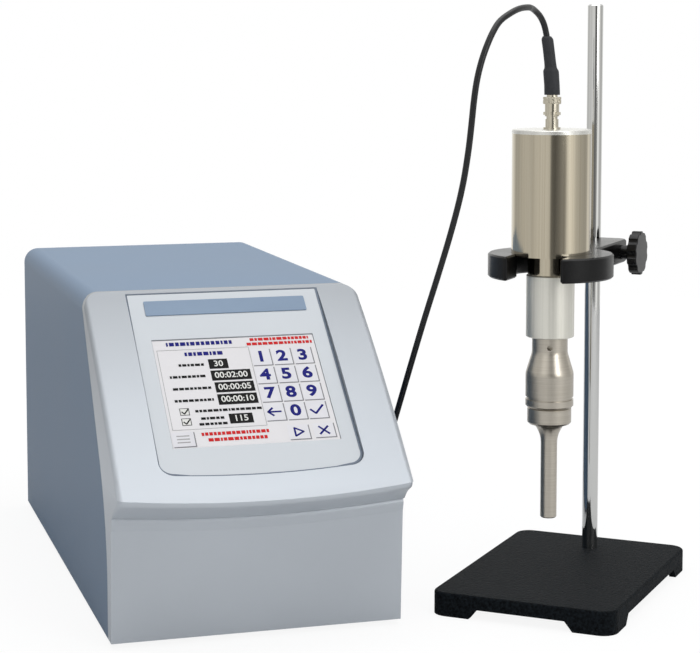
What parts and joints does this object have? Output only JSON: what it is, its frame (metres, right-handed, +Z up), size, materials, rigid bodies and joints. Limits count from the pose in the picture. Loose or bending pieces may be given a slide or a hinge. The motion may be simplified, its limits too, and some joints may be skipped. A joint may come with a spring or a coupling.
{
  "type": "probe sonicator",
  "caption": "Bench ultrasonic generator with sloped touch screen, cabled to a converter and stepped horn held in a C clamp on a rod stand.",
  "frame": {"origin": "on the table, under the middle of the box round the generator and the stand", "axes": "+Z up, the generator's front faces -Y, the stand stands at +X"},
  "size_m": [0.467, 0.6161, 0.443],
  "materials": {
    "bezel_silver": "satin paint",
    "cover_blue_grey": "satin paint",
    "sheet_steel": "brushed",
    "plate_grey": "satin film",
    "strip_blue": "satin film",
    "screen_white": "glossy",
    "frame_black": "matt",
    "board_green": "satin",
    "spacer_brass": "turned",
    "capacitor_sleeve": "glossy",
    "ferrite": "matt",
    "winding": "taped",
    "sink_aluminium": "extruded",
    "package_black": "matt",
    "foot_rubber": "matt",
    "cable_rubber": "satin",
    "base_iron": "textured paint",
    "rod_chrome": "polished",
    "clamp_black": "glossy",
    "housing_steel": "lengthwise brushed",
    "fastener_steel": "machined",
    "ceramic": "lapped",
    "electrode_brass": "rolled",
    "sleeve_aluminium": "turned",
    "horn_titanium": "turned titanium",
    "connector_nickel": "nickel"
  },
  "bodies": {
    "bench": {"board_standoffs": "spacer_brass", "bulk_capacitors": "capacitor_sleeve", "cable_coil": "cable_rubber", "cable_drop": "cable_rubber", "cable_rise": "cable_rubber", "chassis_tray": "sheet_steel", "coil_tie": "cable_rubber", "control_board": "board_green", "display_plate": "plate_grey", "fan_frame": "frame_black", "fan_guard": "sheet_steel", "front_bezel": "bezel_silver", "header_strip": "strip_blue", "heat_sink": "sink_aluminium", "lcd_module": "frame_black", "mains_inlet": "frame_black", "output_boot": "foot_rubber", "output_jack": "connector_nickel", "output_plug": "connector_nickel", "power_board": "board_green", "power_transistors": "package_black", "rear_panel": "sheet_steel", "remote_jack": "connector_nickel", "rocker_frame": "frame_black", "rubber_feet": "foot_rubber", "stand_base": "base_iron", "touch_panel": "screen_white", "transformer_coil": "winding", "transformer_core": "ferrite", "wrap_cover": "cover_blue_grey"},
    "rod": {"support_rod": "rod_chrome"},
    "clamp": {"clamp_body": "clamp_black", "converter_housing": "housing_steel", "housing_cap": "housing_steel", "back_mass": "fastener_steel", "piezo_rings": "ceramic", "electrode_rings": "electrode_brass", "stack_bolt": "fastener_steel", "front_driver": "sleeve_aluminium", "isolation_rings": "foot_rubber", "retaining_ring": "fastener_steel", "driver_sleeve": "sleeve_aluminium", "upper_stud": "fastener_steel", "upper_horn": "horn_titanium", "lower_stud": "fastener_steel", "probe_horn": "horn_titanium", "replaceable_tip": "horn_titanium", "converter_jack": "connector_nickel", "converter_plug": "connector_nickel", "converter_boot": "foot_rubber", "cable_arch": "cable_rubber"},
    "screw": {"thumbscrew_stud": "fastener_steel"},
    "knob": {"clamp_knob": "clamp_black"},
    "converter_ring": {"converter_collar": "connector_nickel"},
    "output_ring": {"output_collar": "connector_nickel"},
    "rocker": {"power_rocker": "frame_black"},
    "drawer": {"fuse_drawer": "frame_black"},
    "fan": {"fan_rotor": "frame_black"}
  },
  "joints": [
    {"name": "support_swivel", "type": "hinge", "parent": "bench", "child": "rod", "pos_m": [0.16395, -0.09223, 0], "axis": [0, 0, 1], "range_deg": [-10, 60]},
    {"name": "clamp_height", "type": "slide", "parent": "rod", "child": "clamp", "axis": [0, 0, 1], "range_m": [-0.045, 0.16]},
    {"name": "screw_feed", "type": "slide", "parent": "clamp", "child": "screw", "axis": [0.7576, -0.6528, 0], "range_m": [0, 0.00251]},
    {"name": "knob_turn", "type": "hinge", "parent": "screw", "child": "knob", "pos_m": [0.18122, -0.10712, 0.25225], "axis": [0.7576, -0.6528, 0], "range_deg": [0, 720]},
    {"name": "converter_bayonet", "type": "hinge", "parent": "clamp", "child": "converter_ring", "pos_m": [0.09541, -0.17178, 0.351], "axis": [0, 0, 1], "range_deg": [0, 60]},
    {"name": "output_bayonet", "type": "hinge", "parent": "bench", "child": "output_ring", "pos_m": [-0.07149, 0.24712, 0.05], "axis": [0, 1, 0], "range_deg": [0, 60]},
    {"name": "power_switch", "type": "hinge", "parent": "bench", "child": "rocker", "pos_m": [-0.07149, 0.24412, 0.132], "axis": [1, 0, 0], "range_deg": [-16, 0]},
    {"name": "fuse_pull", "type": "slide", "parent": "bench", "child": "drawer", "axis": [0, 1, 0], "range_m": [0, 0.014]},
    {"name": "fan_spin", "type": "hinge", "parent": "bench", "child": "fan", "pos_m": [-0.17149, 0.24512, 0.15], "axis": [0, 1, 0], "continuous": true}
  ],
  "couplings": [
    {"joint": "screw_feed", "follows": "knob_turn", "m_per_rad": 0.00019894}
  ]
}
